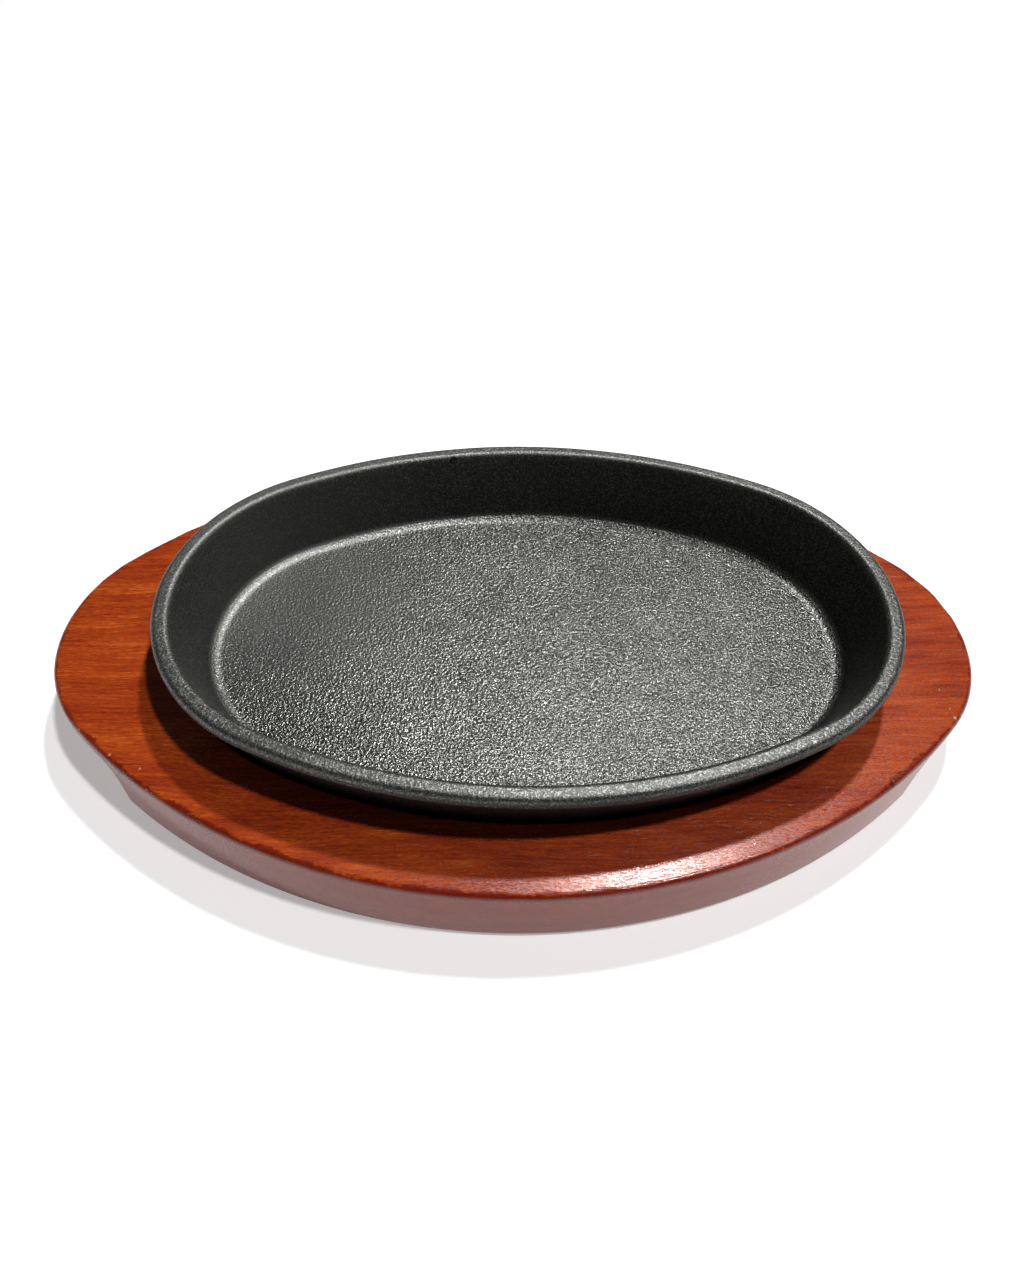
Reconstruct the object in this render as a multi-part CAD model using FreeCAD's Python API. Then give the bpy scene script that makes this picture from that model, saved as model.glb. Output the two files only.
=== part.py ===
"""Oval cast iron serving plate that rests in the routed recess of its wooden base.

Millimetres, +Z up, +X along the length. The origin is the middle of the board's underside.
"""
import FreeCAD, Part
import math
import os
from FreeCAD import Vector

# Casting, with angles in degrees
PLATE_LENGTH = 240.0
PLATE_WIDTH = 156.0
PLATE_HEIGHT = 28.5
PLATE_END_ANGLE = 62.7
FLOOR_THICKNESS = 4.0
FLOOR_FILLET = 4.0
WALL_THICKNESS = 5.0
WALL_LEAN = 18.0
LIP_OVERHANG = 1.4
LIP_SIDE = 1.2
LIP_OUTER_RADIUS = 2.1
LIP_INNER_RADIUS = 2.0
LIP_UNDER_FILLET = 2.0
FOOT_RADIUS = 4.0

# Board, which reaches past the plate's rim by a margin
END_MARGIN = 35.0
SIDE_MARGIN = 19.0
BOARD_THICKNESS = 25.0
BOARD_END_ANGLE = 44.4
TOP_EDGE_RADIUS = 2.0
BOTTOM_EDGE_RADIUS = 2.0

# Recess for the plate's foot, routed a little off the board's middle
RECESS_DEPTH = 6.0
RECESS_CLEARANCE = 1.0
RECESS_EDGE_RADIUS = 0.8
RECESS_SHIFT_X = 2.9
RECESS_SHIFT_Y = -1.9

# Finger grip under each end, which leaves a lip of wood above it
GRIP_REACH = 17.5
GRIP_LIP_THICKNESS = 5.5
GRIP_CORNER_RADIUS = 7.0
GRIP_EDGE_RADIUS = 1.5

RECESS_FLOOR = BOARD_THICKNESS - RECESS_DEPTH
GRIP_HEIGHT = BOARD_THICKNESS - GRIP_LIP_THICKNESS

# Width of flat floor that the wall's ring brings with it
RING_LAND = 4.0
# How far a cutter stands out of the wood
CUTTER_OVERRUN = 4.0

UP = Vector(0, 0, 1)
ORIGIN = Vector(0, 0, 0)
FULL_TURN = 360.0
FLAT = 0.001


class FourArcOval:
    """An oval of two end arcs and two side arcs that meet tangentially, centred on the origin.

    end_angle is how far an end arc runs to either side of the long axis, in degrees.
    """

    def __init__(self, length, width, end_angle):
        half_length = length / 2
        half_width = width / 2
        angle = math.radians(end_angle)
        slimness = (1 - math.sin(angle)) / math.cos(angle)
        self.end_angle = end_angle
        self.end_radius = (half_width - slimness * half_length) / (1 - slimness)
        self.end_centre = half_length - self.end_radius
        self.side_centre = self.end_centre * math.tan(angle)
        self.side_radius = half_width + self.side_centre

    def end_arc(self, side):
        """Centre, radius, start and sweep in degrees of the end on the +X (1) or -X (-1) side."""
        centre = Vector(side * self.end_centre, 0, 0)
        middle = 0 if side > 0 else 180
        return centre, self.end_radius, middle - self.end_angle, 2 * self.end_angle

    def side_arc(self, side):
        """Centre, radius, start and sweep in degrees of the side on the +Y (1) or -Y (-1) side."""
        centre = Vector(0, -side * self.side_centre, 0)
        half_sweep = 90 - self.end_angle
        return centre, self.side_radius, side * 90 - half_sweep, 2 * half_sweep

    def arcs(self):
        """The four arcs in order, anticlockwise from the +X end."""
        return [self.end_arc(1), self.side_arc(1), self.end_arc(-1), self.side_arc(-1)]

    def prism(self, inset, bottom, top):
        """The solid inside the oval moved inwards by inset, between two heights."""
        edges = []
        for centre, radius, start, sweep in self.arcs():
            points = [polar(centre, radius - inset, start + sweep * part, bottom) for part in (0, 0.5, 1)]
            edges.append(Part.Arc(*points).toShape())
        return Part.Face(Part.Wire(edges)).extrude(UP * (top - bottom))


def polar(centre, radius, degrees, height):
    """The point at a radius and a direction round a centre, at a height."""
    angle = math.radians(degrees)
    return Vector(centre.x + radius * math.cos(angle), centre.y + radius * math.sin(angle), height)


def revolve_arc(section, arc):
    """A section face, drawn at x = minus its distance inwards, carried along one arc."""
    centre, radius, start, sweep = arc
    face = section.copy()
    face.translate(Vector(radius, 0, 0))
    face.rotate(ORIGIN, UP, start)
    solid = face.revolve(ORIGIN, UP, sweep)
    solid.translate(centre)
    return solid


def join(solids):
    """One clean solid from touching or overlapping ones."""
    return solids[0].multiFuse(solids[1:]).removeSplitter()


def rounded_corner(before, corner, after, radius):
    """Arc that rounds a corner between two straight lines, and its two tangent points."""
    towards_before = (before - corner).normalize()
    towards_after = (after - corner).normalize()
    half = towards_before.getAngle(towards_after) / 2
    start = corner + towards_before * (radius / math.tan(half))
    end = corner + towards_after * (radius / math.tan(half))
    bisector = (towards_before + towards_after).normalize()
    middle = corner + bisector * (radius / math.sin(half) - radius)
    return Part.Arc(start, middle, end).toShape(), start, end


def line(start, end):
    """Straight edge."""
    return Part.LineSegment(start, end).toShape()


class WallSection:
    """Section of the casting's wall: flat-topped lip, leaning wall, filleted floor and rounded foot.

    Distances inwards from the rim run along -X and heights above the underside along +Z.
    """

    def __init__(self):
        lean = math.radians(WALL_LEAN)
        self.down = Vector(-math.sin(lean), 0, -math.cos(lean))
        self.inwards = Vector(-math.cos(lean), 0, math.sin(lean))
        self.lip_low = Vector(-LIP_OUTER_RADIUS, 0, PLATE_HEIGHT - LIP_OUTER_RADIUS - LIP_SIDE)
        self.outer_line = self.lip_low - self.inwards * (LIP_OUTER_RADIUS - LIP_OVERHANG)
        self.inner_line = self.outer_line + self.inwards * WALL_THICKNESS
        self.inner_top = self.at_height(self.inner_line, PLATE_HEIGHT)
        self.inner_floor = self.at_height(self.inner_line, FLOOR_THICKNESS)
        self.outer_foot = self.at_height(self.outer_line, 0)

    def at_height(self, point, height):
        """Where the leaning line through a point reaches a height."""
        return point + self.down * ((point.z - height) / -self.down.z)

    def outer_inset(self, height):
        """How far inside the rim the outer wall is at a height."""
        return -self.at_height(self.outer_line, height).x

    def floor_inset(self):
        """How far inside the rim the flat floor takes over from the ring."""
        fillet_run = FLOOR_FILLET * math.tan(math.radians(90 - WALL_LEAN) / 2)
        return -self.inner_floor.x + fillet_run + RING_LAND

    def face(self):
        """The section as a face."""
        end = -self.floor_inset()
        floor_end = Vector(end, 0, FLOOR_THICKNESS)
        foot_end = Vector(end, 0, 0)
        floor_fillet, wall_end, floor_start = rounded_corner(
            self.inner_top, self.inner_floor, floor_end, FLOOR_FILLET)
        foot_round, foot_start, outer_start = rounded_corner(
            foot_end, self.outer_foot, self.outer_line, FOOT_RADIUS)

        outer_top = Vector(0, 0, PLATE_HEIGHT)
        side_bottom = Vector(0, 0, self.lip_low.z)
        outer_round, side_top, land_start = rounded_corner(
            side_bottom, outer_top, self.inner_top, LIP_OUTER_RADIUS)
        inner_round, land_end, wall_start = rounded_corner(
            outer_top, self.inner_top, self.inner_floor, LIP_INNER_RADIUS)

        # The fillet under the lip touches the lip's lower round and the outer face of the wall
        between_centres = LIP_OUTER_RADIUS + LIP_UNDER_FILLET
        outwards = between_centres - LIP_OVERHANG
        drop = math.sqrt(between_centres ** 2 - outwards ** 2)
        under_centre = self.lip_low - self.inwards * outwards + self.down * drop
        outer_end = under_centre + self.inwards * LIP_UNDER_FILLET
        to_lip = (self.lip_low - under_centre).normalize()
        lip_start = under_centre + to_lip * LIP_UNDER_FILLET
        under_middle = under_centre + (to_lip + self.inwards).normalize() * LIP_UNDER_FILLET
        low_middle = self.lip_low + (Vector(1, 0, 0) - to_lip).normalize() * LIP_OUTER_RADIUS

        edges = [
            line(foot_end, foot_start),
            foot_round,
            line(outer_start, outer_end),
            Part.Arc(outer_end, under_middle, lip_start).toShape(),
            Part.Arc(lip_start, low_middle, side_bottom).toShape(),
            line(side_bottom, side_top),
            outer_round,
            line(land_start, land_end),
            inner_round,
            line(wall_start, wall_end),
            floor_fillet,
            line(floor_start, floor_end),
            line(floor_end, foot_end),
        ]
        return Part.Face(Part.Wire(edges))


def iron_plate(rim, wall, place):
    """The casting: its wall carried round the rim's four arcs, with the flat floor inside."""
    section = wall.face()
    ring = [revolve_arc(section, arc) for arc in rim.arcs()]
    floor = rim.prism(wall.floor_inset(), 0, FLOOR_THICKNESS)
    plate = join(ring + [floor])
    plate.translate(place)
    return plate


def grip_section(outside):
    """Section of what the router bit removes, from a line outside its axis to its rounded corner."""
    outside_bottom = Vector(outside, 0, -CUTTER_OVERRUN)
    outside_top = Vector(outside, 0, GRIP_HEIGHT)
    corner_top = Vector(-GRIP_REACH, 0, GRIP_HEIGHT)
    corner_bottom = Vector(-GRIP_REACH, 0, -CUTTER_OVERRUN)
    corner, round_start, round_end = rounded_corner(
        outside_top, corner_top, corner_bottom, GRIP_CORNER_RADIUS)
    edges = [
        line(outside_bottom, outside_top),
        line(outside_top, round_start),
        corner,
        line(round_end, corner_bottom),
        line(corner_bottom, outside_bottom),
    ]
    return Part.Face(Part.Wire(edges))


def grip_cutter(outline, side):
    """What the router bit removes as its axis follows the board's edge round one end."""
    arc = outline.end_arc(side)
    centre, radius, start, sweep = arc
    solids = [revolve_arc(grip_section(CUTTER_OVERRUN), arc)]
    for end in (start, start + sweep):
        bit = grip_section(0).revolve(ORIGIN, UP, FULL_TURN)
        bit.translate(polar(centre, radius, end, 0))
        solids.append(bit)
    return join(solids)


def flat_face(shape, height):
    """The largest flat face at a height."""
    faces = [face for face in shape.Faces
             if abs(face.BoundBox.ZMin - height) < FLAT and abs(face.BoundBox.ZMax - height) < FLAT]
    return max(faces, key=lambda face: face.Area)


def inner_edges(face):
    """Edges of the holes in a face."""
    return [edge for wire in face.Wires if not wire.isSame(face.OuterWire) for edge in wire.Edges]


def grip_mouth_edges(board):
    """Edges where the finger grips break out through the board's upright side."""
    found = []
    for face in board.Faces:
        is_side = isinstance(face.Surface, Part.Cylinder) and face.BoundBox.ZMax > GRIP_HEIGHT + FLAT
        for edge in face.Edges:
            if is_side and FLAT < edge.BoundBox.ZMax < GRIP_HEIGHT + FLAT:
                found.append(edge)
    return found


def recess_cutter(rim, wall):
    """What is routed away for the plate's foot: the wall's outline at the board's top, and a clearance."""
    inset = wall.outer_inset(RECESS_DEPTH) - RECESS_CLEARANCE
    cutter = rim.prism(inset, RECESS_FLOOR, BOARD_THICKNESS + CUTTER_OVERRUN)
    cutter.translate(Vector(RECESS_SHIFT_X, RECESS_SHIFT_Y, 0))
    return cutter


def wooden_base(outline, rim, wall):
    """The board: rounded edges, a finger grip under each end and a recess for the plate's foot."""
    board = outline.prism(0, 0, BOARD_THICKNESS)
    board = board.makeFillet(TOP_EDGE_RADIUS, flat_face(board, BOARD_THICKNESS).Edges)
    for side in (1, -1):
        board = board.cut(grip_cutter(outline, side))
    board = board.makeFillet(GRIP_EDGE_RADIUS, grip_mouth_edges(board))
    board = board.makeFillet(BOTTOM_EDGE_RADIUS, flat_face(board, 0).Edges)
    board = board.cut(recess_cutter(rim, wall))
    return board.makeFillet(RECESS_EDGE_RADIUS, inner_edges(flat_face(board, BOARD_THICKNESS)))


def main():
    rim = FourArcOval(PLATE_LENGTH, PLATE_WIDTH, PLATE_END_ANGLE)
    outline = FourArcOval(PLATE_LENGTH + 2 * END_MARGIN, PLATE_WIDTH + 2 * SIDE_MARGIN, BOARD_END_ANGLE)
    wall = WallSection()
    seat = Vector(RECESS_SHIFT_X, RECESS_SHIFT_Y, RECESS_FLOOR)
    pieces = {
        "iron_plate": iron_plate(rim, wall, seat),
        "wooden_base": wooden_base(outline, rim, wall),
    }
    os.makedirs("parts", exist_ok=True)
    for name, shape in pieces.items():
        shape.exportStep("parts/" + name + ".step")
        print(name, "valid", shape.isValid(), "solids", len(shape.Solids), "mm3", round(shape.Volume))


main()
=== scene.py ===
"""Oval cast iron serving plate resting in its lacquered wooden base, on a pale studio floor."""
import math

import bmesh
import bpy
import numpy as np
from mathutils import Matrix, Vector


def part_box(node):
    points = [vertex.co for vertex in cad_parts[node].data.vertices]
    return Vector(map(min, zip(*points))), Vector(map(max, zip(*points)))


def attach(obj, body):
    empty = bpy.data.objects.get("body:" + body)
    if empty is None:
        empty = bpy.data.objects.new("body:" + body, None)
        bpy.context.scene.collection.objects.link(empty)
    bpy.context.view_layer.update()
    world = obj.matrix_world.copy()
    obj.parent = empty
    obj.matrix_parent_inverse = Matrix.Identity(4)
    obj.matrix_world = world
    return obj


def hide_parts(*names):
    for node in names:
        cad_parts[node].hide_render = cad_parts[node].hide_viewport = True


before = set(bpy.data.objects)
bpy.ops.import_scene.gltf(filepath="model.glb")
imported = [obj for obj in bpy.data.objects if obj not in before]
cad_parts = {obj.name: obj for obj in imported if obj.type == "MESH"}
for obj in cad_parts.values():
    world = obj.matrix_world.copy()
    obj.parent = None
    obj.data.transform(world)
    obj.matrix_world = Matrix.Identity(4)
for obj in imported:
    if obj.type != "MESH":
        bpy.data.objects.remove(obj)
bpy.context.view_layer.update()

MM = 0.001

# The photograph's camera, fitted to the outlines of the board, the rim and the flat floor
CAMERA_DISTANCE = 321.93
CAMERA_ELEVATION = 51.08
CAMERA_AZIMUTH = -3.76
CAMERA_ROLL = 2.81
FOCAL_PIXELS = 883.19
OPTICAL_AXIS = (519.09, 680.39)
PHOTO_SIZE = (1024, 1280)
SENSOR = 36.0

# Directions towards the two lamps, found from the rim's two shadow edges and the glare on the lacquer
SIDE_LAMP = (0.338, -0.066, 0.939)
BACK_LAMP = (0.210, 0.401, 0.892)
SIDE_LAMP_DISTANCE = 5.0
BACK_LAMP_DISTANCE = 1.2
LAMP_ANGLE = 3.7
SIDE_LIGHT = 0.43
BACK_LIGHT = 0.56
# Shades of grey of the room by height of view, dim overhead
ROOM_SHADES = ((0.0, 0.40), (0.10, 0.34), (0.32, 0.07), (0.60, 0.03))
# Floor, which is open a little inside the board's standing face
FLOOR_RADIUS = 8000.0
FLOOR_SKIRT = 5.0
OPENING_INSET = 0.5
FLOOR_WHITE = (0.9, 0.9, 0.9, 1)
FLOOR_LIFT = 0.36

# Casting, millimetres and degrees, the same values as the solid's
PLATE_END_ANGLE = 62.7
WALL_LEAN = 18.0
WALL = 5.0
LIP_OVERHANG = 1.4
LIP_SIDE = 1.2
LIP_OUTER_RADIUS = 2.1
LIP_INNER_RADIUS = 2.0
UNDER_LIP_RADIUS = 2.0
FLOOR_THICKNESS = 4.0
FLOOR_FILLET = 4.0
FOOT_RADIUS = 4.0
FLAT_INSET = 17.0
CASTING_STATIONS = 720
# How deep the slow waviness and the sand's grain sink the surface, and where in the noise they are taken
WAVINESS = 0.16
SAND_RELIEF = 0.07
NOISE_PLACE = 3.0

# Board
BOARD_END_ANGLE = 44.4
TOP_EDGE = 2.0
BOTTOM_EDGE = 2.0
RECESS_DEPTH = 6.0
RECESS_CLEARANCE = 1.0
RECESS_EDGE = 0.8
GRIP_REACH = 17.5
GRIP_CORNER = 7.0
GRIP_LIP = 5.5
GRIP_MOUTH = 1.5
# Points that a grip's outline is first drawn with on its roof and in its corner, and rows of faces that it gets
GRIP_SAMPLES = 60
GRIP_ROWS = 24
BOARD_STATIONS = 720
# How much the round of the top edge varies, with the seed, slowest and fastest wave and number of waves
EDGE_VARIES = 0.22
EDGE_WAVES = (5, 14, 90, 14)

# Flaws of the casting in millimetres: place, radius and height, which is negative for a nick. The heights also
# brighten the iron's colour on a pimple as painted highlight and darken it in a nick as painted shade
CASTING_FLAWS = (
    ((-24.0, 68.4, 45.6), 1.7, -0.45), ((-22.6, 69.2, 43.6), 1.0, -0.30), ((-24.4, 69.9, 40.6), 0.9, -0.25),
    ((78.1, 55.9, 46.2), 1.3, -0.35), ((56.2, 39.3, 23.0), 1.3, 0.50), ((-1.3, 47.1, 23.0), 0.9, 0.30),
    ((79.0, 37.2, 23.0), 1.0, 0.32), ((104.3, 9.7, 23.0), 1.0, 0.30), ((81.3, -60.6, 47.2), 1.4, 0.20))
# Middle of the part of the floor that is rubbed smooth
WORN_PATCH = (-80.0, 24.0, 23.0)
# Strengths of the grain at which the iron's finish is stated: walls to lip to fillet to floor. The colour at these
# stops is partly the iron's own reflectance and partly painted light: raised on the fillet as a painted highlight
# line and lowered on the walls and under the lip as painted shade
GRAIN_STOPS = (0.1, 0.3, 0.5, 0.7, 0.85, 1.0)

# Places where the board's lacquer is chipped to pale wood, with their radii, and where it is bruised dark
PALE_CHIPS = (
    ((-138.3, -39.3, 24.8), 0.9), ((-136.5, -41.2, 24.7), 0.7), ((-125.9, -48.6, 25.0), 0.5),
    ((-115.7, -53.7, 25.0), 0.5), ((-112.7, -61.0, 24.8), 0.9), ((-111.1, -62.1, 24.8), 0.7),
    ((139.4, -36.0, 25.0), 0.8), ((139.0, -32.3, 25.0), 0.5), ((138.0, -24.4, 25.0), 0.4), ((129.0, 27.6, 25.0), 0.7))
DARK_CHIPS = (
    ((-121.7, -54.6, 24.9), 1.6), ((-118.2, -57.2, 24.9), 1.3), ((-99.5, -70.0, 24.9), 1.7),
    ((-95.6, -72.0, 24.8), 1.3), ((111.6, -61.1, 25.0), 1.5))
SCRATCHES = (
    ((-143.0, -4.4, 25.0), (-131.0, -2.6, 25.0)), ((-139.5, -8.2, 25.0), (-133.5, -2.0, 25.0)),
    ((128.0, 28.2, 25.0), (141.0, 28.6, 25.0)), ((134.0, -6.8, 25.0), (151.0, -7.2, 25.0)))

STAIN_STOPS = (
    (0.385, (0.190, 0.0120, 0.0020)), (0.465, (0.325, 0.0345, 0.0045)),
    (0.535, (0.450, 0.0620, 0.0065)), (0.620, (0.640, 0.1280, 0.0150)))
PORE_COLOUR = (0.10, 0.007, 0.002, 1)
# Painted shade: the dark red of the top edge's round, where it turns away from the lamps
EDGE_ROUND_SHADE_COLOUR = (0.170, 0.0075, 0.0025, 1)
# The side's own duller stain, with a painted pale greyish-pink sheen of the floor's reflection
SIDE_STAIN_AND_SHEEN = (0.24, 0.028, 0.018, 1)
PALE_WOOD = (0.66, 0.36, 0.18, 1)
BRUISED_WOOD = (0.050, 0.004, 0.003, 1)
SCRATCH_COLOUR = (0.62, 0.20, 0.09, 1)

# How far along a flat face's rows the two halves of an oval are drawn to its spine
SPINE_SHARE = 0.55


def size_of(node):
    """Middle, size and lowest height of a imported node, in millimetres."""
    low, high = (np.array(corner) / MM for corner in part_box(node))
    return (low + high) / 2, high - low, low[2]


# ---------------------------------------------------------------- node trees


class Value:
    """A socket that takes part in Python arithmetic: every operation adds a Math node."""

    def __init__(self, nodes, socket):
        self.nodes = nodes
        self.socket = socket

    def math(self, operation, *others):
        return self.nodes.add("ShaderNodeMath", {"operation": operation}, dict(enumerate((self,) + others)))

    def __add__(self, other):
        return self.math("ADD", other)

    def __sub__(self, other):
        return self.math("SUBTRACT", other)

    def __mul__(self, other):
        return self.math("MULTIPLY", other)

    def __truediv__(self, other):
        return self.math("DIVIDE", other)

    __radd__ = __add__

    def __rsub__(self, other):
        return self.nodes.add("ShaderNodeMath", {"operation": "SUBTRACT"}, {0: other, 1: self})

    def at_least(self, other):
        return self.math("MAXIMUM", other)

    def at_most(self, other):
        return self.math("MINIMUM", other)

    def step(self, start, end, low=0.0, high=1.0):
        """A smooth step from low at start to high at end."""
        return self.nodes.add("ShaderNodeMapRange", {"interpolation_type": "SMOOTHSTEP"},
                              {"Value": self, "From Min": start, "From Max": end, "To Min": low, "To Max": high})


class Nodes:
    """A node tree and the one way to add to it: a node's type, its settings, then its sockets."""

    def __init__(self, tree):
        self.tree = tree

    def add(self, kind, settings=None, sockets=None, output=0):
        """The chosen output of a new node, or a list of all of them where output is None."""
        node = self.tree.nodes.new(kind)
        for name, value in (settings or {}).items():
            if name == "stops":
                self.set_stops(node.color_ramp, value)
            else:
                setattr(node, name, value)
        for name, value in (sockets or {}).items():
            if isinstance(value, Value):
                self.tree.links.new(value.socket, node.inputs[name])
            else:
                node.inputs[name].default_value = value
        if output is None or not node.outputs:
            return [Value(self, socket) for socket in node.outputs]
        return Value(self, node.outputs[output])

    def set_stops(self, ramp, stops):
        while len(ramp.elements) < len(stops):
            ramp.elements.new(1.0)
        for element, (position, colour) in zip(ramp.elements, stops):
            element.position = position
            element.color = (*colour, 1.0)

    def vector(self, operation, *parts, output=0, **named):
        sockets = dict(enumerate(parts))
        sockets.update({name.capitalize(): value for name, value in named.items()})
        return self.add("ShaderNodeVectorMath", {"operation": operation}, sockets, output)

    def split(self, vector):
        """The x, y and z of a vector."""
        return self.add("ShaderNodeSeparateXYZ", {}, {0: vector}, output=None)

    def joined(self, x, y, z):
        return self.add("ShaderNodeCombineXYZ", {}, {0: x, 1: y, 2: z})

    def blended(self, share, first, second):
        """Colour that goes from first to second with share."""
        return self.add("ShaderNodeMix", {"data_type": "RGBA"}, {0: share, 6: first, 7: second}, output=2)

    def noise(self, place, scale, detail=2.0, roughness=0.5, distortion=0.0):
        """Fractal noise around 0.5, with scale in waves to a unit of place."""
        return self.add("ShaderNodeTexNoise", {"noise_dimensions": "3D"}, {
            "Vector": place, "Scale": scale, "Detail": detail, "Roughness": roughness, "Distortion": distortion})

    def distance(self, place, spot):
        return self.vector("DISTANCE", place, spot, output=1)

    def attribute(self, name):
        """A number kept with the mesh."""
        return self.add("ShaderNodeAttribute", {"attribute_name": name}, output="Fac")


def geometry_tree(name, inputs):
    """An empty tree of Geometry Nodes with named inputs, and those inputs as values."""
    tree = bpy.data.node_groups.new(name, "GeometryNodeTree")
    for label, kind in inputs.items():
        tree.interface.new_socket(label, in_out="INPUT", socket_type="NodeSocket" + kind)
    tree.interface.new_socket("Geometry", in_out="OUTPUT", socket_type="NodeSocketGeometry")
    nodes = Nodes(tree)
    return nodes, dict(zip(inputs, nodes.add("NodeGroupInput", output=None)))


def grown(name, nodes, values):
    """The mesh object that a tree makes from these inputs."""
    piece = bpy.data.objects.new(name, bpy.data.meshes.new(name))
    bpy.context.scene.collection.objects.link(piece)
    modifier = piece.modifiers.new(name, "NODES")
    modifier.node_group = nodes.tree
    for item in nodes.tree.interface.items_tree:
        if item.in_out == "INPUT":
            modifier[item.identifier] = values[item.name]
    whole = piece.evaluated_get(bpy.context.evaluated_depsgraph_get())
    mesh = bpy.data.meshes.new_from_object(whole)
    piece.modifiers.remove(modifier)
    piece.data = mesh
    mesh.name = name
    return piece


# ---------------------------------------------------------------- shapes


class Oval:
    """Two end arcs and two side arcs that meet tangentially, in millimetres round a middle."""

    def __init__(self, middle, length, width, end_angle):
        self.middle = np.array(middle[:2])
        self.angle = math.radians(end_angle)
        slimness = (1 - math.sin(self.angle)) / math.cos(self.angle)
        self.end_radius = (width / 2 - slimness * length / 2) / (1 - slimness)
        self.end_centre = length / 2 - self.end_radius
        self.side_centre = self.end_centre * math.tan(self.angle)
        self.side_radius = width / 2 + self.side_centre
        self.end_run = self.end_radius * self.angle
        self.side_run = self.side_radius * (math.pi / 2 - self.angle)

    def runs(self, turns):
        """Distance along the outline from the nearer end's tip, for shares of the whole turn."""
        quarter = np.abs((turns * 4 + 1) % 2 - 1)
        return quarter * (self.end_run + self.side_run)

    def ring(self, turns, inset):
        """Points on the oval moved inwards by inset, one for all or one for each turn."""
        run = self.runs(turns)
        angle = np.minimum(run, self.end_run) / self.end_radius
        angle += np.maximum(run - self.end_run, 0) / self.side_radius
        on_end = run <= self.end_run
        radius = np.where(on_end, self.end_radius, self.side_radius) - inset
        x = np.where(on_end, self.end_centre, 0) + radius * np.cos(angle)
        y = np.where(on_end, 0, -self.side_centre) + radius * np.sin(angle)
        x *= np.sign(np.cos(turns * 2 * math.pi))
        y *= np.sign(np.sin(turns * 2 * math.pi) + 1e-12)
        return self.middle + np.stack([x, y], axis=-1)


def arc(centre, radius, start, end, steps):
    """Points on an arc between two directions in degrees."""
    angles = np.radians(np.linspace(start, end, steps))
    return np.array(centre) + radius * np.stack([np.cos(angles), np.sin(angles)], axis=-1)


def straight(start, end, steps):
    """Points between two others, without them."""
    shares = np.linspace(0, 1, steps + 2)[1:-1, None]
    return np.array(start) * (1 - shares) + np.array(end) * shares


class WallLines:
    """The leaning lines of the casting's wall, as inset and height."""

    def __init__(self):
        lean = math.radians(WALL_LEAN)
        self.inwards = np.array([math.cos(lean), math.sin(lean)])
        self.down = np.array([math.sin(lean), -math.cos(lean)])
        self.lip_low = np.array([LIP_OUTER_RADIUS, PLATE_HEIGHT - LIP_OUTER_RADIUS - LIP_SIDE])
        self.outer = self.lip_low - self.inwards * (LIP_OUTER_RADIUS - LIP_OVERHANG)
        self.inner = self.outer + self.inwards * WALL

    def at_height(self, point, height):
        """Where the leaning line through a point reaches a height."""
        return point + self.down * ((point[1] - height) / -self.down[1])

    def filleted(self, point, height, radius):
        """Centre of the round between the leaning line through a point and a level line below it."""
        return self.at_height(point, height) + (radius / math.tan(math.radians(90 + WALL_LEAN) / 2), radius)


def casting_section():
    """Rows of the wall's section as inset, share drawn to the spine, height and strength of the sand grain."""
    wall = WallLines()
    between_centres = LIP_OUTER_RADIUS + UNDER_LIP_RADIUS
    outwards = between_centres - LIP_OVERHANG
    drop = math.sqrt(between_centres ** 2 - outwards ** 2)
    under_centre = wall.lip_low - wall.inwards * outwards + wall.down * drop
    to_lip = math.degrees(math.atan2(*(wall.lip_low - under_centre)[::-1]))
    inner_centre = wall.at_height(wall.inner, PLATE_HEIGHT - LIP_INNER_RADIUS)
    inner_centre = inner_centre - (LIP_INNER_RADIUS / wall.inwards[0], 0)
    outer_centre = (LIP_OUTER_RADIUS, PLATE_HEIGHT - LIP_OUTER_RADIUS)
    floor_centre = wall.filleted(wall.inner, FLOOR_THICKNESS, FLOOR_FILLET)
    foot_centre = wall.filleted(wall.outer, 0.0, FOOT_RADIUS)

    fillet = arc(floor_centre, FLOOR_FILLET, 270, 180 + WALL_LEAN, 12)
    inner_round = arc(inner_centre, LIP_INNER_RADIUS, WALL_LEAN, 90, 9)
    outer_round = arc(outer_centre, LIP_OUTER_RADIUS, 90, 180, 12)
    low_round = arc(wall.lip_low, LIP_OUTER_RADIUS, 180, to_lip + 180, 8)
    under = arc(under_centre, UNDER_LIP_RADIUS, to_lip, WALL_LEAN, 6)[1:]
    foot = arc(foot_centre, FOOT_RADIUS, 180 + WALL_LEAN, 270, 7)
    inner = straight(fillet[-1], inner_round[0], 15)
    land = straight(inner_round[-1], outer_round[0], 5)
    side = straight(outer_round[-1], low_round[0], 1)
    outer = straight(under[-1], foot[0], 10)

    rows = [(FLAT_INSET, share, FLOOR_THICKNESS, 1.0) for share in np.linspace(1, 0, 38)]
    for points, start, middle, end in (
            (fillet[1:], 0.85, 0.85, 0.3), (inner, 0.3, 0.3, 0.3), (inner_round, 0.4, 0.55, 0.7),
            (land, 0.7, 0.7, 0.7), (outer_round, 0.7, 0.6, 0.2), (side, 0.2, 0.2, 0.2), (low_round, 0.2, 0.1, 0.1),
            (under, 0.1, 0.1, 0.1), (outer, 0.1, 0.1, 0.1), (foot, 0.1, 0.1, 0.1)):
        grains = np.interp(np.linspace(0, 1, len(points)), (0, 0.5, 1), (start, middle, end))
        rows += [(inset, 0.0, height, grain) for (inset, height), grain in zip(points, grains)]
    rows += [(FLAT_INSET, share, 0.0, 0.5) for share in np.linspace(0, 1, 8)]
    return np.array(rows)


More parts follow.
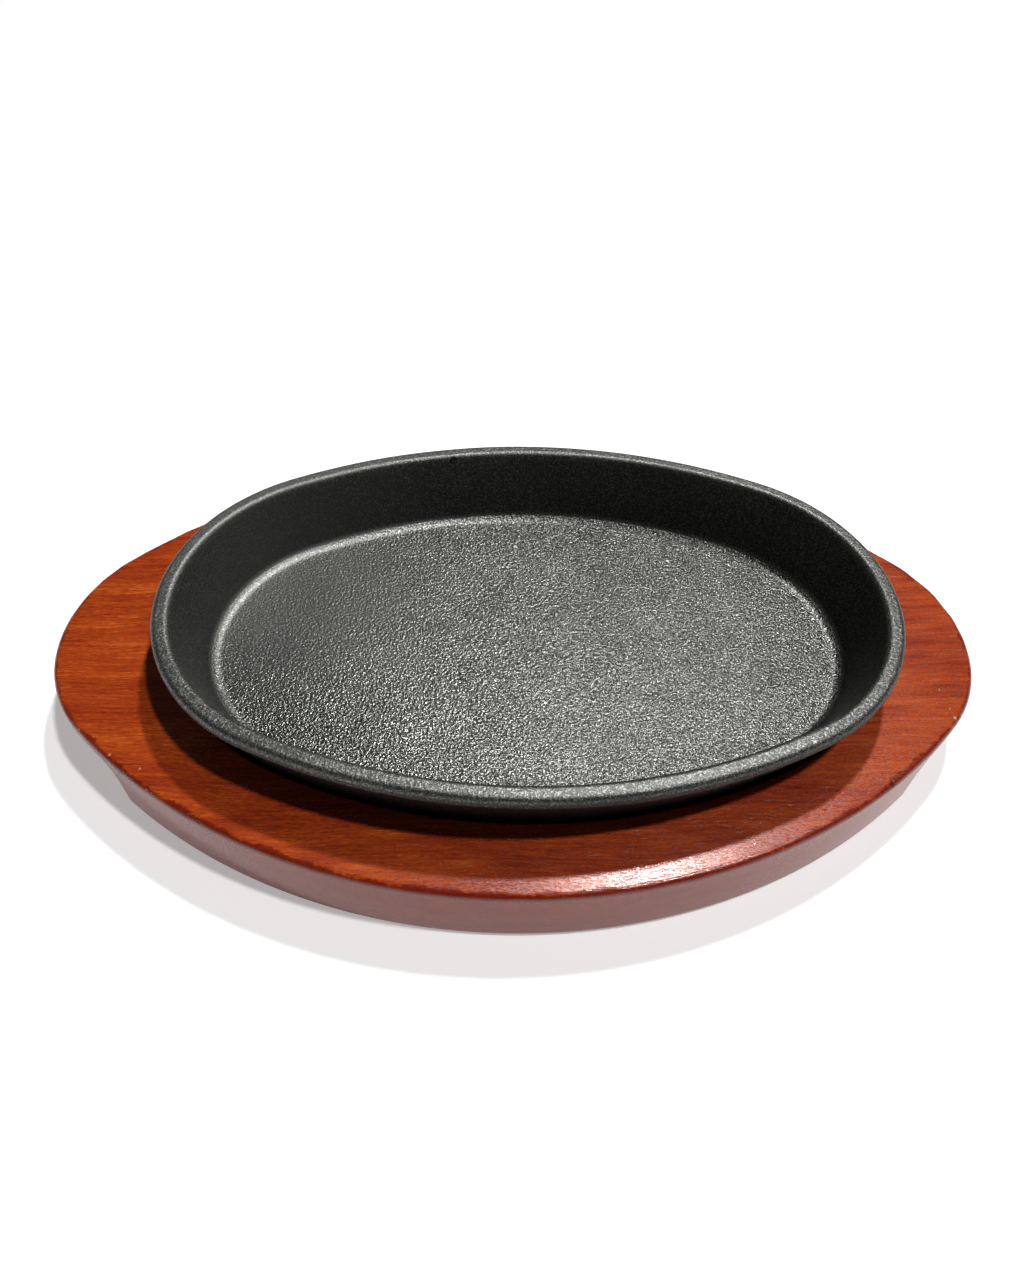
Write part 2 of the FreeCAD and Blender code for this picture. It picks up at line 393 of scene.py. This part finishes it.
def section_object(rows):
    """The section as loose points at inset, share and height, with the grain as their attribute."""
    mesh = bpy.data.meshes.new("casting_section")
    mesh.from_pydata([tuple(row[:3] * (MM, 1, MM)) for row in rows], [], [])
    mesh.attributes.new("grain", "FLOAT", "POINT").data.foreach_set("value", rows[:, 3].astype(np.float32))
    piece = bpy.data.objects.new("casting_section", mesh)
    bpy.context.scene.collection.objects.link(piece)
    return piece


def casting_tree(row_count):
    """The casting: a section carried round a four-arc oval and drawn to a spine across its flat faces."""
    nodes, given = geometry_tree("oval_casting", {
        "Section": "Object", "Stations": "Int", "Middle": "Vector", "End radius": "Float", "End centre": "Float",
        "Side radius": "Float", "Side centre": "Float", "End angle": "Float", "Spine share": "Float",
        "Waviness": "Float", "Grain": "Float", "Seed": "Float", "Iron": "Material"})
    columns = given["Stations"] + 1
    grid = nodes.add("GeometryNodeMeshGrid", {}, {"Vertices X": row_count, "Vertices Y": columns})
    index = nodes.add("GeometryNodeInputIndex")
    row = (index / columns).math("FLOOR")
    turn = (index - row * columns) / given["Stations"]

    section = nodes.add("GeometryNodeObjectInfo", {}, {"Object": given["Section"]}, output="Geometry")

    def sampled(kind, field):
        return nodes.add("GeometryNodeSampleIndex", {"data_type": kind, "clamp": True},
                         {"Geometry": section, "Value": field, "Index": row})

    place = sampled("FLOAT_VECTOR", nodes.add("GeometryNodeInputPosition"))
    inset, drawn, height = nodes.split(place)
    grain = sampled("FLOAT", nodes.add("GeometryNodeInputNamedAttribute", {"data_type": "FLOAT"}, {"Name": "grain"}))

    end_run = given["End radius"] * given["End angle"]
    side_run = given["Side radius"] * (math.pi / 2 - given["End angle"])
    run = (turn * 4).math("PINGPONG", 1.0) * (end_run + side_run)
    angle = run.at_most(end_run) / given["End radius"] + (run - end_run).at_least(0.0) / given["Side radius"]
    on_end = run.math("LESS_THAN", end_run)
    radius = given["Side radius"] + on_end * (given["End radius"] - given["Side radius"]) - inset
    around = turn * (2 * math.pi)
    x = (on_end * given["End centre"] + radius * angle.math("COSINE")) * around.math("COSINE").math("SIGN")
    y = (radius * angle.math("SINE") - (1 - on_end) * given["Side centre"]) * around.math("SINE").math("SIGN")
    spine = x * (1 + (given["Spine share"] - 1) * drawn)
    level = nodes.joined(spine, y * (1 - drawn), height)
    placed = nodes.vector("ADD", level, given["Middle"])

    shaped = nodes.add("GeometryNodeSetPosition", {}, {"Geometry": grid, "Position": placed})
    shaped = nodes.add("GeometryNodeStoreNamedAttribute", {"data_type": "FLOAT", "domain": "POINT"},
                       {"Geometry": shaped, "Name": "grain", "Value": grain})
    shaped = nodes.add("GeometryNodeMergeByDistance", {}, {"Geometry": shaped, "Distance": 0.01 * MM})

    here = nodes.vector("ADD", nodes.add("GeometryNodeInputPosition"), nodes.joined(given["Seed"], 0.0, 0.0))
    slow = nodes.noise(here, 38.0, 1.0)
    sand = nodes.noise(here, 420.0, 2.0, 0.6)
    strength = nodes.add("GeometryNodeInputNamedAttribute", {"data_type": "FLOAT"}, {"Name": "grain"})
    sunk = slow * given["Waviness"] + sand * given["Grain"] * strength
    normal = nodes.add("GeometryNodeInputNormal")
    offset = nodes.vector("SCALE", normal, scale=sunk * -1.0)
    rough = nodes.add("GeometryNodeSetPosition", {}, {"Geometry": shaped, "Offset": offset})
    smooth = nodes.add("GeometryNodeSetShadeSmooth", {}, {"Geometry": rough})
    real = nodes.add("GeometryNodeRealizeInstances", {}, {"Geometry": smooth})
    finished = nodes.add("GeometryNodeSetMaterial", {}, {"Geometry": real, "Material": given["Iron"]})
    nodes.add("NodeGroupOutput", {}, {"Geometry": finished})
    return nodes


def turned_outwards(mesh):
    """Merges what coincides and points every face outwards."""
    work = bmesh.new()
    work.from_mesh(mesh)
    bmesh.ops.remove_doubles(work, verts=work.verts, dist=0.005 * MM)
    bmesh.ops.recalc_face_normals(work, faces=work.faces)
    work.to_mesh(mesh)
    work.free()


def iron_plate(iron):
    """The casting, sunk from its true surface by a slow waviness and the sand's grain."""
    rows = casting_section()
    section = section_object(rows)
    piece = grown("cast_iron_plate", casting_tree(len(rows)), {
        "Section": section, "Stations": CASTING_STATIONS, "Middle": (*(RIM.middle * MM), PLATE_LOW * MM),
        "End radius": RIM.end_radius * MM, "End centre": RIM.end_centre * MM, "Side radius": RIM.side_radius * MM,
        "Side centre": RIM.side_centre * MM, "End angle": RIM.angle, "Spine share": SPINE_SHARE,
        "Waviness": WAVINESS * MM, "Grain": SAND_RELIEF * MM, "Seed": NOISE_PLACE, "Iron": iron})
    bpy.data.objects.remove(section)
    turned_outwards(piece.data)
    piece.data.materials.clear()
    piece.data.materials.append(iron)
    piece.data.polygons.foreach_set("material_index", np.zeros(len(piece.data.polygons), dtype=np.int32))
    return piece


def grip_rows(past_end):
    """Side of the board as inset and height, past_end millimetres along its edge from a finger grip's end."""
    roof = BOARD_TOP - GRIP_LIP
    flat_reach = GRIP_REACH - GRIP_CORNER
    corner_low = roof - GRIP_CORNER
    past = min(past_end, GRIP_REACH)
    deepest = math.sqrt(GRIP_REACH ** 2 - past ** 2)
    start_angle = math.asin(max(past - flat_reach, 0) / GRIP_CORNER)
    angles = np.linspace(start_angle, math.pi / 2, GRIP_SAMPLES)
    roof_reach = np.linspace(min(past, flat_reach), flat_reach, GRIP_SAMPLES)
    reach = np.concatenate([roof_reach, flat_reach + GRIP_CORNER * np.sin(angles)])
    height = np.concatenate([np.full(GRIP_SAMPLES, roof), corner_low + GRIP_CORNER * np.cos(angles)])
    depth = np.sqrt(np.maximum(reach ** 2 - past ** 2, 0))
    mouth_height = height[0] if past < flat_reach else height[GRIP_SAMPLES]
    mouth = min(GRIP_MOUTH, deepest * 0.5)
    kept = depth > mouth
    depth = np.concatenate([depth[kept], [deepest]])
    height = np.concatenate([height[kept], [BOTTOM_EDGE]])
    mouth_round = arc((mouth, mouth_height + mouth), mouth, 180, 270, 6)
    path = np.concatenate([mouth_round[-1:], np.stack([depth, height], axis=-1)])
    length = np.concatenate([[0], np.cumsum(np.linalg.norm(np.diff(path, axis=0), axis=1))])
    spots = np.linspace(0, length[-1], GRIP_ROWS)[1:]
    wall = np.stack([np.interp(spots, length, path[:, axis]) for axis in (0, 1)], axis=-1)
    foot = arc((deepest + BOTTOM_EDGE, BOTTOM_EDGE), BOTTOM_EDGE, 180, 270, 6)[1:]
    edge = arc((TOP_EDGE, BOARD_TOP - TOP_EDGE), TOP_EDGE, 90, 180, 10)
    side = straight(edge[-1], mouth_round[0], 5)
    return np.concatenate([edge, side, mouth_round, wall, foot])


def uneven(turns, seed, slowest, fastest, count):
    """A seeded wave round the board, between about -1 and 1."""
    chance = np.random.default_rng(seed)
    cycles = chance.integers(slowest, fastest, count)
    phases = chance.uniform(0, 2 * math.pi, count)
    waves = np.sin(2 * math.pi * turns[:, None] * cycles + phases)
    return waves.sum(axis=1) / math.sqrt(count * 2)


def board_sides():
    """Shares of the turn round the board, and the rows of its side at each as inset and height."""
    turns = np.arange(BOARD_STATIONS) / BOARD_STATIONS
    past_end = np.maximum(OUTLINE.runs(turns) - OUTLINE.end_run, 0)
    return turns, np.stack([grip_rows(past) for past in past_end])


def ring_quads(rings, stations):
    """Faces between rings of points that follow each other."""
    number = np.arange(rings * stations).reshape(rings, stations)
    following = np.roll(number, -1, axis=1)
    return np.stack([number[:-1], number[1:], following[1:], following[:-1]], axis=-1).reshape(-1, 4)


def wooden_base(wood):
    """The board: rounded edges, a routed recess for the plate's foot and a finger grip under each end."""
    turns, sides = board_sides()
    stations = len(turns)
    top_round = sides[0, :, 1] > BOARD_TOP - TOP_EDGE
    reach = 1 + EDGE_VARIES * uneven(turns, *EDGE_WAVES)
    sides[:, top_round, 0] *= reach[:, None]

    def level(points, height):
        return np.concatenate([points, np.full((stations, 1), height)], axis=1)

    def drawn(points, whole, shares):
        """Rings of points between a ring and the spine of a whole oval."""
        spine = (whole - OUTLINE.middle) * (SPINE_SHARE, 0) + OUTLINE.middle
        return [points * (1 - share) + spine * share for share in shares]

    wall = WallLines()
    recess_inset = wall.at_height(wall.outer, RECESS_DEPTH)[0] - RECESS_CLEARANCE
    recess = RIM.ring(turns, recess_inset)
    rows = [level(points, BOARD_TOP - RECESS_DEPTH) for points in drawn(recess, recess, np.linspace(1, 0, 8))]
    for height in (-RECESS_DEPTH * 0.7, -RECESS_DEPTH * 0.4):
        rows.append(level(recess, BOARD_TOP + height))
    for inset, height in arc((RECESS_EDGE, -RECESS_EDGE), RECESS_EDGE, 180, 90, 6):
        rows.append(level(RIM.ring(turns, recess_inset - inset), BOARD_TOP + height))
    inner = RIM.ring(turns, recess_inset - RECESS_EDGE)
    outer = OUTLINE.ring(turns, TOP_EDGE * reach)
    for share in np.linspace(0.01, 0.99, 24):
        rows.append(level(inner * (1 - share) + outer * share, BOARD_TOP))
    for number in range(sides.shape[1]):
        inset, height = sides[:, number].T
        rows.append(np.concatenate([OUTLINE.ring(turns, inset), height[:, None]], axis=1))
    under = OUTLINE.ring(turns, sides[:, -1, 0])
    rows += [level(points, 0.0) for points in drawn(under, OUTLINE.ring(turns, 0), np.linspace(0.02, 1, 12))]

    grid = np.stack(rows)
    inside = np.linalg.norm(grid[:, :, :2] - OUTLINE.ring(turns, 0), axis=2)
    below_round = grid[:, :, 2] - (BOARD_TOP - TOP_EDGE)
    from_edge = np.where(below_round > 0, inside, below_round).ravel().astype(np.float32)
    mesh = bpy.data.meshes.new("stained_wooden_base")
    mesh.from_pydata((grid.reshape(-1, 3) * MM).tolist(), [], ring_quads(len(rows), stations).tolist())
    mesh.attributes.new("from_edge", "FLOAT", "POINT").data.foreach_set("value", from_edge)
    turned_outwards(mesh)
    mesh.shade_smooth()
    mesh.materials.append(wood)
    piece = bpy.data.objects.new("stained_wooden_base", mesh)
    bpy.context.scene.collection.objects.link(piece)
    return piece


# ---------------------------------------------------------------- finishes


def material(name):
    """A new material and its empty node tree."""
    made = bpy.data.materials.new(name)
    made.use_nodes = True
    made.node_tree.nodes.clear()
    return made, Nodes(made.node_tree)


def millimetres(nodes):
    """Place on the piece, in millimetres."""
    place = nodes.add("ShaderNodeTexCoord", output="Object")
    return nodes.vector("SCALE", place, scale=1000.0)


def finish_of(nodes, sockets):
    """Ends a material's tree with a Principled shader."""
    surface = nodes.add("ShaderNodeBsdfPrincipled", {}, sockets)
    nodes.add("ShaderNodeOutputMaterial", {}, {"Surface": surface})


def cast_iron():
    """Matte graphite black with the glinting grain of a sand casting, coarse on the floor and finer on the lip."""
    made, nodes = material("cast_iron_graphite")
    place = millimetres(nodes)
    strength = nodes.attribute("grain")

    def by_grain(*values):
        """A number that follows the grain's strength, from its value at each stop."""
        stops = [(at, (value,) * 3) for at, value in zip(GRAIN_STOPS, values)]
        return nodes.add("ShaderNodeValToRGB", {"stops": stops}, {"Fac": strength})

    worn = nodes.distance(place, WORN_PATCH).step(75.0, 15.0)
    # Painted light: the iron's colour rises towards the left end, standing in for light that falls more evenly from
    # left to right
    painted_light_to_left = nodes.split(place)[0].step(50.0, -120.0, 0.90, 1.42)
    sand = nodes.noise(place, 1.05, 2.0, 0.55, 0.25)
    specks = nodes.noise(place, 2.1, 1.0)
    broad = nodes.noise(place, 0.045, 3.0, 0.6)
    glint = (specks + (sand - 0.5) * 0.35 + (broad - 0.5) * 0.12).step(0.44, 0.74)
    glint = (glint - 0.3) * (2.1 - worn * 1.3) * by_grain(0.6, 0.7, 0.6, 0.6, 0.85, 1.0) + 1.0
    # Flaw heights raise and sink the bump; in the colour they give painted highlight on pimples and painted shade in
    # nicks
    flaw_relief_and_painted_light = 0.0
    for spot, radius, rise in CASTING_FLAWS:
        flaw_relief_and_painted_light = flaw_relief_and_painted_light + nodes.distance(place, spot).step(radius, 0.0) * rise
    height = sand * by_grain(0.10, 0.10, 0.11, 0.17, 0.38, 0.48) * (1.0 - worn * 0.55) + flaw_relief_and_painted_light * 0.6
    # Colour by grain: the iron's own reflectance, with a painted highlight on the fillet and painted shade on the
    # walls and under the lip
    level = by_grain(0.050, 0.082, 0.115, 0.142, 0.174, 0.141) * painted_light_to_left * (glint + (flaw_relief_and_painted_light * 7.0).at_least(-0.4))
    colour = nodes.joined(level, level * 1.01, level * 0.945)
    roughness = by_grain(0.55, 0.50, 0.50, 0.46, 0.41, 0.30) + worn * 0.11
    normal = nodes.add("ShaderNodeBump", {}, {"Strength": 1.0, "Distance": MM, "Height": height})
    finish_of(nodes, {"Base Color": colour, "Metallic": 1.0, "Roughness": roughness, "Normal": normal})
    return made


def stained_wood():
    """Red-brown stain under gloss lacquer that the fibres break up, with a thin dark band of painted shade on the top
    edge's round and a side in its own duller stain with a painted pale sheen.
    """
    made, nodes = material("red_stained_lacquered_wood")
    place = millimetres(nodes)
    x, y, z = nodes.split(place)
    drift = (nodes.noise(nodes.vector("MULTIPLY", place, (0.018, 0.03, 0.03)), 1.0, 2.0) - 0.5) * 9.0
    wavy = nodes.joined(x, y + drift, z)

    def grain(along, across, detail=3.0, roughness=0.6):
        return nodes.noise(nodes.vector("MULTIPLY", wavy, (along, across, across)), 1.0, detail, roughness)

    streaks = grain(0.10, 1.5)
    fibres = grain(0.45, 2.4, 2.0)
    bands = grain(0.016, 0.22)
    broad = grain(0.02, 0.05, 2.0)
    pores = grain(0.30, 3.2, 1.0).step(0.58, 0.68)
    tone = streaks * 0.27 + fibres * 0.30 + bands * 0.23 + broad * 0.20
    stain = nodes.add("ShaderNodeValToRGB", {"stops": STAIN_STOPS}, {"Fac": tone})
    stain = nodes.blended(pores * 0.45, stain, PORE_COLOUR)

    edge = nodes.attribute("from_edge")
    # Painted shade: a thin, wandering dark band on the top edge's round
    wander = (nodes.noise(place, 0.10, 3.0, 0.6) - 0.5) * 6.0 + (nodes.noise(place, 0.9, 2.0) - 0.5) * 1.8
    edge_round_shade = (edge + wander).step(1.9, 1.1) * edge.step(-1.4, -0.6)
    stain = nodes.blended(edge_round_shade * 0.8, stain, EDGE_ROUND_SHADE_COLOUR)
    # The side: its own duller stain and satin finish, with a painted pale sheen in its greyer colour
    side = edge.step(-0.4, -1.2)
    stain = nodes.blended(side * 0.7, stain, SIDE_STAIN_AND_SHEEN)

    dents = 0.0
    for chips, ragged, core, strength, colour, depth in (
            (PALE_CHIPS, 1.2, 0.5, 0.85, PALE_WOOD, 0.15), (DARK_CHIPS, 2.0, 0.4, 0.8, BRUISED_WOOD, 0.08)):
        for spot, radius in chips:
            chip = (nodes.distance(place, spot) + (fibres - 0.5) * ragged).step(radius, radius * core)
            stain = nodes.blended(chip * strength, stain, colour)
            dents = dents - chip * depth
    for start, end in SCRATCHES:
        line = scratch(nodes, place, start, end)
        stain = nodes.blended(line * 0.22, stain, SCRATCH_COLOUR)
        dents = dents - line * 0.02

    height = ((streaks + fibres) * 0.05 - pores * 0.012) * (1.0 - side * 0.95)
    height = height + nodes.noise(place, 0.06, 1.0) * 0.10 + dents
    normal = nodes.add("ShaderNodeBump", {}, {"Strength": 1.0, "Distance": MM, "Height": height})
    roughness = (fibres * 0.55 + grain(0.9, 3.0, 1.0) * 0.45).step(0.40, 0.60, 0.33, 0.15)
    roughness = roughness + side * (0.22 - roughness)
    finish_of(nodes, {
        "Base Color": stain, "Metallic": 0.05, "Roughness": roughness, "Specular IOR Level": 0.6, "Normal": normal})
    return made


def scratch(nodes, place, start, end):
    """A fine line on the surface between two places."""
    along = np.array(end) - np.array(start)
    length = float(np.linalg.norm(along))
    direction = tuple(along / length)
    run = nodes.vector("DOT_PRODUCT", nodes.vector("SUBTRACT", place, start), direction, output=1)
    run = run.at_least(0.0).at_most(length)
    foot = nodes.vector("ADD", nodes.vector("SCALE", direction, scale=run), start)
    return nodes.distance(place, foot).step(0.28, 0.08)


def pale_floor():
    """Matte white, lifted to clean white where it is seen directly or in a reflection, and clear from below."""
    made, nodes = material("studio_floor")
    camera, glossy, transmission = (
        nodes.add("ShaderNodeLightPath", output="Is %s Ray" % kind) for kind in ("Camera", "Glossy", "Transmission"))
    seen = camera.at_least(glossy).at_least(transmission)
    matte = nodes.add("ShaderNodeBsdfDiffuse", {}, {"Color": FLOOR_WHITE})
    lift = nodes.add("ShaderNodeEmission", {}, {"Color": (1, 1, 1, 1), "Strength": seen * FLOOR_LIFT})
    both = nodes.add("ShaderNodeAddShader", {}, {0: matte, 1: lift})
    below = nodes.add("ShaderNodeNewGeometry", output="Backfacing")
    clear = nodes.add("ShaderNodeBsdfTransparent")
    one_sided = nodes.add("ShaderNodeMixShader", {}, {0: below, 1: both, 2: clear})
    nodes.add("ShaderNodeOutputMaterial", {}, {"Surface": one_sided})
    return made


# ---------------------------------------------------------------- studio


def place_camera():
    """The photograph's viewpoint, looking at the origin, with its roll and its off-centre optical axis."""
    elevation, azimuth, roll = (math.radians(angle) for angle in (CAMERA_ELEVATION, CAMERA_AZIMUTH, CAMERA_ROLL))
    level = math.cos(elevation)
    away = Vector((math.sin(azimuth) * level, -math.cos(azimuth) * level, math.sin(elevation)))
    right = (-away).cross(Vector((0, 0, 1))).normalized()
    up = right.cross(-away)
    turned_right = right * math.cos(roll) + up * math.sin(roll)
    turned_up = up * math.cos(roll) - right * math.sin(roll)
    data = bpy.data.cameras.new("camera")
    data.sensor_width = SENSOR
    data.lens = FOCAL_PIXELS * SENSOR / max(PHOTO_SIZE)
    data.shift_x = (PHOTO_SIZE[0] / 2 - OPTICAL_AXIS[0]) / max(PHOTO_SIZE)
    data.shift_y = (OPTICAL_AXIS[1] - PHOTO_SIZE[1] / 2) / max(PHOTO_SIZE)
    data.clip_start = 0.01
    camera = bpy.data.objects.new("camera", data)
    camera.matrix_world = Matrix.Translation(away * CAMERA_DISTANCE * MM) @ Matrix(
        (turned_right, turned_up, away)).transposed().to_4x4()
    bpy.context.scene.collection.objects.link(camera)
    bpy.context.scene.camera = camera


def add_lamp(name, direction, distance, light):
    """A round soft lamp that gives a level white card at the origin this much light."""
    towards = Vector(direction).normalized()
    data = bpy.data.lights.new(name, "AREA")
    data.shape = "DISK"
    data.size = distance * math.radians(LAMP_ANGLE)
    data.energy = math.pi * distance ** 2 * math.pi * light / towards.z
    lamp = bpy.data.objects.new(name, data)
    lamp.location = towards * distance
    lamp.rotation_euler = towards.to_track_quat("Z", "Y").to_euler()
    bpy.context.scene.collection.objects.link(lamp)


def add_surroundings():
    """A room that is pale near the horizon and dim overhead."""
    world = bpy.data.worlds.new("studio")
    world.use_nodes = True
    world.node_tree.nodes.clear()
    nodes = Nodes(world.node_tree)
    direction = nodes.add("ShaderNodeTexCoord", output="Generated")
    height = nodes.split(direction)[2]
    stops = [(at, (grey,) * 3) for at, grey in ROOM_SHADES]
    shade = nodes.add("ShaderNodeValToRGB", {"stops": stops}, {"Fac": height})
    background = nodes.add("ShaderNodeBackground", {}, {"Color": shade, "Strength": 1.0})
    nodes.add("ShaderNodeOutputWorld", {}, {"Surface": background})
    bpy.context.scene.world = world


def lay_floor(finish):
    """A large level disc that is open where the board stands on it."""
    turns, sides = board_sides()
    far = FLOOR_RADIUS * np.stack([np.cos(turns * 2 * math.pi), np.sin(turns * 2 * math.pi)], axis=-1)
    rings = [OUTLINE.ring(turns, sides[:, -1, 0] + OPENING_INSET), OUTLINE.ring(turns, -FLOOR_SKIRT), far]
    spots = np.concatenate([np.pad(ring, ((0, 0), (0, 1))) for ring in rings])
    mesh = bpy.data.meshes.new("floor")
    mesh.from_pydata((spots * MM).tolist(), [], ring_quads(len(rings), len(turns)).tolist())
    mesh.materials.append(finish)
    floor = bpy.data.objects.new("floor", mesh)
    bpy.context.scene.collection.objects.link(floor)


plate_middle, plate_size, PLATE_LOW = size_of("iron_plate")
board_middle, board_size, _ = size_of("wooden_base")
PLATE_HEIGHT = plate_size[2]
BOARD_TOP = board_size[2]
RIM = Oval(plate_middle, plate_size[0], plate_size[1], PLATE_END_ANGLE)
OUTLINE = Oval(board_middle, board_size[0], board_size[1], BOARD_END_ANGLE)

place_camera()
add_surroundings()
add_lamp("side_lamp", SIDE_LAMP, SIDE_LAMP_DISTANCE, SIDE_LIGHT)
add_lamp("back_lamp", BACK_LAMP, BACK_LAMP_DISTANCE, BACK_LIGHT)
lay_floor(pale_floor())

plate = iron_plate(cast_iron())
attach(plate, "root")
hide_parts("iron_plate")

base = wooden_base(stained_wood())
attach(base, "root")
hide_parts("wooden_base")

bpy.context.scene.view_settings.view_transform = "Standard"
